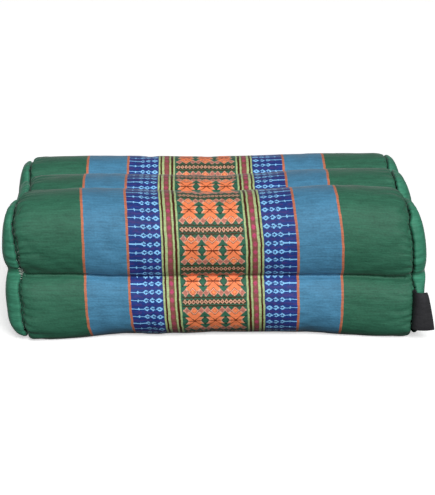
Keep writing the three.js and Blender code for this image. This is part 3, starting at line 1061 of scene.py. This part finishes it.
def stars(paint, u, dv, orange):
    """The three stars of a row, with the diamonds between them, at a distance from the row's middle line."""
    du = abs(u).folded(STAR_PITCH)
    band = abs(u) < STAR_BAND
    brown, peach = dyed(100, 40, 15), dyed(243, 178, 146)
    side = dv.within(0.3, 3.7) * (du > dv + 0.25) * (du < dv * 0.69 + 5.0)
    tall = (dv > du + 0.25) * (du < dv * 0.83 + 0.62) * (du + dv < 12.6)
    between = du.off(6.1) / 2.7 + dv.off(9.8) / 3.3
    diamond = du / 3.8 + dv.off(9.3) / 3.5
    for mask, colour in (
        ((du.off(STAR_PITCH / 2) / 3.4 + dv / 4.6).within(0.85, 1.1), dyed(48, 38, 20)),
        (between < 1, dyed(222, 160, 140)),
        (between < 0.72, dyed(192, 118, 102)),
        (side.step("MAXIMUM", tall), orange),
        (side * (du - dv * 0.69 > 3.9) + tall * (du + dv > 11.9), peach),
        ((du.off(dv) < 0.42) * (du < 4.6), brown),
        ((dv < 0.45) * (du < 5.0), brown),
        (diamond.within(1.0, 1.14), brown),
        (diamond.within(0.72, 1.0), peach),
        (diamond.within(0.54, 0.72), dyed(215, 95, 50)),
        (diamond < 0.54, orange),
        (diamond < 0.2, dyed(255, 175, 105)),
    ):
        paint.lay(mask * band, colour)


def chains(paint, u, dv):
    """The chain between two rows of stars, at a distance from its middle line."""
    du = u.folded(3.4)
    link = du / 1.7 + dv / 2.1
    for mask, colour in (
        ((dv - du / 1.7 * 0.9).off(3.1) < 0.6, dyed(70, 48, 24)),
        (dv < 2.1, dyed(66, 52, 30)),
        (link.within(0.5, 1.05), dyed(225, 175, 145)),
        (link < 0.5, dyed(125, 55, 45)),
    ):
        paint.lay(mask * (abs(u) < STAR_BAND), colour)


def navy_motifs(paint, au, dv, streaks, cyan):
    """The motifs that hang in from the navy band's outer edge, each a stalk, a bead and three diamonds."""
    navy = au.within(*NAVY_BAND)
    t = (au - NAVY_BAND[1]) * -1.0
    paint.lay((dv > 2.2) * streaks * navy, dyed(60, 54, 124))
    paint.lay((dv < 0.35) * (t < 9.8) * navy, cyan)
    paint.lay((t.off(5.8) / 1.1 + dv / 1.3 < 1) * navy, cyan)
    for centre in (12.4, 17.5):
        outlined = (t.off(centre) / 2.9 + dv / 2.1).within(0.42, 1.0)
        opened = (t - centre > 1.0) * (dv < 0.5)
        paint.lay(outlined * opened.turned() * navy, cyan)
    paint.lay((t.off(23) / 3.1 + dv / 2.2).within(0.38, 1.0) * navy, cyan)


def plain_weave():
    """Thread relief and colour unevenness, for any cloth that is measured in metres by its UV map."""
    tree, source, result = effect(
        "Plain Weave",
        [("Cloth", "NodeSocketVector"), ("Color", "NodeSocketColor")],
        [("Color", "NodeSocketColor"), ("Height", "NodeSocketFloat"), ("Roughness", "NodeSocketFloat")],
    )
    cloth = source.outputs["Cloth"]
    u, v = (part / MM for part in parts(tree, cloth)[:2])
    warp = (u * (math.pi / WARP)).step("SINE")
    weft = (v * (math.pi / WEFT)).step("SINE")
    slub = noise(tree, cloth, (0.016, 0.0009, 1), 3)
    patches = noise(tree, cloth, (0.05, 0.04, 1), 2)
    knots = noise(tree, cloth, (0.0018, 0.0013, 1), 2)
    crepe = noise(tree, cloth, (0.007, 0.0022, 1), 2)
    streaks = noise(tree, cloth, (0.03, 0.0028, 1), 2)
    lumps = noise(tree, cloth, (0.008, 0.005, 1), 2)
    height = warp * weft * 0.25 + abs(weft) * 0.2 + slub * 0.9 + knots * 0.8 + crepe * 2.2 + lumps * 2.0
    light = (slub - 0.5) * 0.7 + (patches - 0.5) * 0.35 + (knots - 0.5) * 0.6
    light = light + (streaks - 0.5) * 0.5 + (lumps - 0.5) * 0.4 + 1.0
    tint = tree.nodes.new("ShaderNodeHueSaturation")
    tree.links.new(source.outputs["Color"], tint.inputs["Color"])
    tree.links.new(light.source, tint.inputs["Value"])
    tree.links.new(tint.outputs[0], result.inputs["Color"])
    tree.links.new(height.source, result.inputs["Height"])
    rough = slub * 0.2 + 0.55
    tree.links.new(rough.source, result.inputs["Roughness"])
    return tree


def cloth_material(name, colour, bands=None, sheen=0.2):
    material, tree, shader = new_material(name)
    place = tree.nodes.new("ShaderNodeUVMap")
    place.uv_map = "Cloth"
    weave = tree.nodes.new("ShaderNodeGroup")
    weave.node_tree = bpy.data.node_groups.get("Plain Weave") or plain_weave()
    tree.links.new(place.outputs["UV"], weave.inputs["Cloth"])
    weave.inputs["Color"].default_value = (*colour, 1)
    if bands:
        laid = tree.nodes.new("ShaderNodeGroup")
        laid.node_tree = bands
        tree.links.new(place.outputs["UV"], laid.inputs["Cloth"])
        tree.links.new(laid.outputs["Color"], weave.inputs["Color"])
    bump = tree.nodes.new("ShaderNodeBump")
    bump.inputs["Strength"].default_value = 0.5
    bump.inputs["Distance"].default_value = 0.0002
    tree.links.new(weave.outputs["Height"], bump.inputs["Height"])
    tree.links.new(weave.outputs["Color"], shader.inputs["Base Color"])
    tree.links.new(weave.outputs["Roughness"], shader.inputs["Roughness"])
    tree.links.new(bump.outputs["Normal"], shader.inputs["Normal"])
    shader.inputs["Sheen Weight"].default_value = sheen
    shader.inputs["Sheen Roughness"].default_value = 0.3
    shader.inputs["Specular IOR Level"].default_value = 0.3
    return material


def patterned_cloth():
    return cloth_material("Patterned Cloth", (0.5, 0.5, 0.5), woven_bands())


def plain_cloth():
    return cloth_material("Plain Cloth", bpy.context.scene.cloth_pattern.panel)


PLY = 0.25 * MM


def thread_material(name, colour):
    """Twisted thread, with its plies as slanted lines."""
    material, tree, shader = new_material(name)
    place = tree.nodes.new("ShaderNodeTexCoord")
    x, y, z = parts(tree, place.outputs["Object"])
    slanted = z + x * 0.6
    shade = (slanted * (math.pi / PLY)).step("SINE") * 0.15 + 0.9
    tint = tree.nodes.new("ShaderNodeHueSaturation")
    tint.inputs["Color"].default_value = (*colour, 1)
    tree.links.new(shade.source, tint.inputs["Value"])
    tree.links.new(tint.outputs[0], shader.inputs["Base Color"])
    shader.inputs["Roughness"].default_value = 0.6
    return material


def label_ribbon():
    return cloth_material("Label Ribbon", dyed(45, 45, 48), sheen=0)


# Sizes and colours that a user may change

def length_property(name, description, default, low, high):
    """A length in metres."""
    return FloatProperty(
        name=name, description=description, default=default, min=low, max=high,
        unit="LENGTH", subtype="DISTANCE"
    )


def share_property(name, description, default, high):
    """A share, from none up."""
    return FloatProperty(
        name=name, description=description, default=default, min=0, max=high, subtype="FACTOR"
    )


def colour_property(name, description, *screen):
    """A colour, whose default is given in screen values of 0 to 255."""
    return FloatVectorProperty(
        name=name, description=description, default=dyed(*screen), min=0, max=1, size=3, subtype="COLOR"
    )


class CushionSizes(bpy.types.PropertyGroup):
    height: length_property("Height", "Nominal height of the cushion", 0.120, 0.08, 0.2)
    seam_height: length_property(
        "Channel Height", "Height of the channels along the front and back", 0.0535, 0.03, 0.09
    )
    tube_pitch: length_property("Tube Spacing", "Distance between the two channels on top", 0.060, 0.04, 0.08)
    slack: share_property("Cloth Slack", "Share of spare cloth that wrinkles in the simulation", 0.02, 0.1)
    wrinkle: share_property("Wrinkles", "How much of the simulated wrinkles is kept", 0.4, 2)
    pucker: length_property("Pucker Depth", "Depth of the creases at the seams", 0.0013, 0, 0.003)


class ClothPattern(bpy.types.PropertyGroup):
    centre: length_property(
        "Pattern Centre", "Where the middle of the star band lies along the cushion", -0.0015, -0.05, 0.05
    )
    repeat: length_property(
        "Star Repeat", "Length of cloth from one row of stars to the next", 0.0342, 0.02, 0.06
    )
    small_start: length_property(
        "Small Motif Start", "How far the small motifs are shifted against the stars", 0.002, -0.01, 0.01
    )
    green: colour_property("Green", "Ground of the star band and the ends of the wrap", 49, 105, 82)
    panel: colour_property("Panel Green", "Plain cloth of the end panels", 60, 132, 105)
    blue: colour_property("Blue", "The wide border bands", 73, 132, 166)
    navy: colour_property("Navy", "Ground of the motif bands", 28, 58, 132)
    cyan: colour_property("Cyan", "The small motifs on navy", 138, 203, 250)
    orange: colour_property("Orange", "The stars", 255, 140, 90)
    light_green: colour_property("Light Green", "The thin bands beside the stars", 176, 196, 138)


# The stage

SUNS = (
    {"name": "Key", "strength": 2.95, "elevation": 33, "side": 12, "softness": 30},
    {"name": "Rim", "strength": 0.38, "elevation": 30, "side": 175, "softness": 50},
)
FILLS = (
    {"name": "Right Fill", "power": 1.1, "size": 0.5, "place": (0.55, -0.6, 0.45)},
    {"name": "Left Fill", "power": 0.9, "size": 0.5, "place": (-0.8, -0.3, 0.3)},
)
SKY = {"above": 0.34, "below": 0.13}
FLOOR = {"size": 40, "height": -0.0003, "color": (0.9, 0.9, 0.9, 1), "roughness": 0.9, "painted_sheen": 0.5}
CAMERA = {
    "lens": 98.9, "sensor": 36, "elevation": 17.01, "yaw": -1.52, "distance": 1.191,
    "target": (0.0038, 0, 0.0534),
}


def direction(elevation, side):
    """The direction from the cushion at an elevation and a turn to the right of the front, in degrees."""
    high, turn = math.radians(elevation), math.radians(side)
    return Vector((math.sin(turn) * math.cos(high), -math.cos(turn) * math.cos(high), math.sin(high)))


class CUSHION_OT_stage(bpy.types.Operator):
    """Makes the plain floor, the soft studio light and the camera"""

    bl_idname = "cushion.stage"
    bl_label = "Stage"

    def execute(self, context):
        bpy.ops.mesh.primitive_plane_add(size=FLOOR["size"], location=(0, 0, FLOOR["height"]))
        floor = context.active_object
        floor.name = "floor"
        material, tree, shader = new_material("Pale Floor")
        shader.inputs["Base Color"].default_value = FLOOR["color"]
        shader.inputs["Roughness"].default_value = FLOOR["roughness"]
        shader.inputs["Emission Color"].default_value = (1, 1, 1, 1)
        shader.inputs["Emission Strength"].default_value = FLOOR["painted_sheen"]
        floor.visible_diffuse = floor.visible_glossy = False
        floor.data.materials.append(material)
        for sun in SUNS:
            light = bpy.data.lights.new(sun["name"], "SUN")
            light.energy, light.angle = sun["strength"], math.radians(sun["softness"])
            self.hang(context, light, direction(sun["elevation"], sun["side"]))
        for fill in FILLS:
            light = bpy.data.lights.new(fill["name"], "AREA")
            light.energy, light.size = fill["power"], fill["size"]
            self.hang(context, light, Vector(fill["place"]))
        world = bpy.data.worlds.new("Studio")
        world.use_nodes = True
        tree = world.node_tree
        place = tree.nodes.new("ShaderNodeTexCoord")
        height = parts(tree, place.outputs["Generated"])[2]
        level = (height * 1.5 + 0.5).step("MAXIMUM", 0.0).step("MINIMUM", 1.0)
        light = level * (SKY["above"] - SKY["below"]) + SKY["below"]
        tree.links.new(light.source, tree.nodes["Background"].inputs["Strength"])
        context.scene.world = world
        context.scene.view_settings.view_transform = "Standard"
        lens = bpy.data.cameras.new("Camera")
        lens.lens, lens.sensor_width, lens.clip_start = CAMERA["lens"], CAMERA["sensor"], 0.05
        toward = CAMERA["distance"] * direction(CAMERA["elevation"], CAMERA["yaw"])
        context.scene.camera = self.hang(context, lens, toward, Vector(CAMERA["target"]))
        return {"FINISHED"}

    def hang(self, context, thing, toward, target=Vector()):
        """Hangs a lamp or the camera at a place from the target, and faces it there."""
        hung = bpy.data.objects.new(thing.name, thing)
        hung.location = target + toward
        hung.rotation_euler = (-toward).to_track_quat("-Z", "Y").to_euler()
        context.scene.collection.objects.link(hung)
        return hung


class CUSHION_PT_sidebar(bpy.types.Panel):
    """Lists the cushion's pieces and its sizes and colours"""

    bl_label = "Tube Cushion"
    bl_idname = "CUSHION_PT_sidebar"
    bl_space_type = "VIEW_3D"
    bl_region_type = "UI"
    bl_category = "Cushion"

    def draw(self, context):
        for operator in STEPS:
            self.layout.operator(operator.bl_idname)
        for group in (context.scene.cushion_sizes, context.scene.cloth_pattern):
            for name in group.bl_rna.properties.keys():
                if name not in ("rna_type", "name"):
                    self.layout.prop(group, name)


STEPS = (CUSHION_OT_wrap, CUSHION_OT_end_panels, CUSHION_OT_side_label, CUSHION_OT_stitches, CUSHION_OT_stage)
CLASSES = (CushionSizes, ClothPattern) + STEPS + (CUSHION_PT_sidebar,)


def register():
    for cls in CLASSES:
        bpy.utils.register_class(cls)
    bpy.types.Scene.cushion_sizes = PointerProperty(type=CushionSizes)
    bpy.types.Scene.cloth_pattern = PointerProperty(type=ClothPattern)


def unregister():
    del bpy.types.Scene.cushion_sizes
    del bpy.types.Scene.cloth_pattern
    for cls in reversed(CLASSES):
        bpy.utils.unregister_class(cls)


def main():
    register()
    bpy.ops.cushion.wrap()
    bpy.ops.cushion.end_panels()
    bpy.ops.cushion.side_label()
    bpy.ops.cushion.stitches()
    bpy.ops.cushion.stage()


if __name__ == "__main__":
    main()
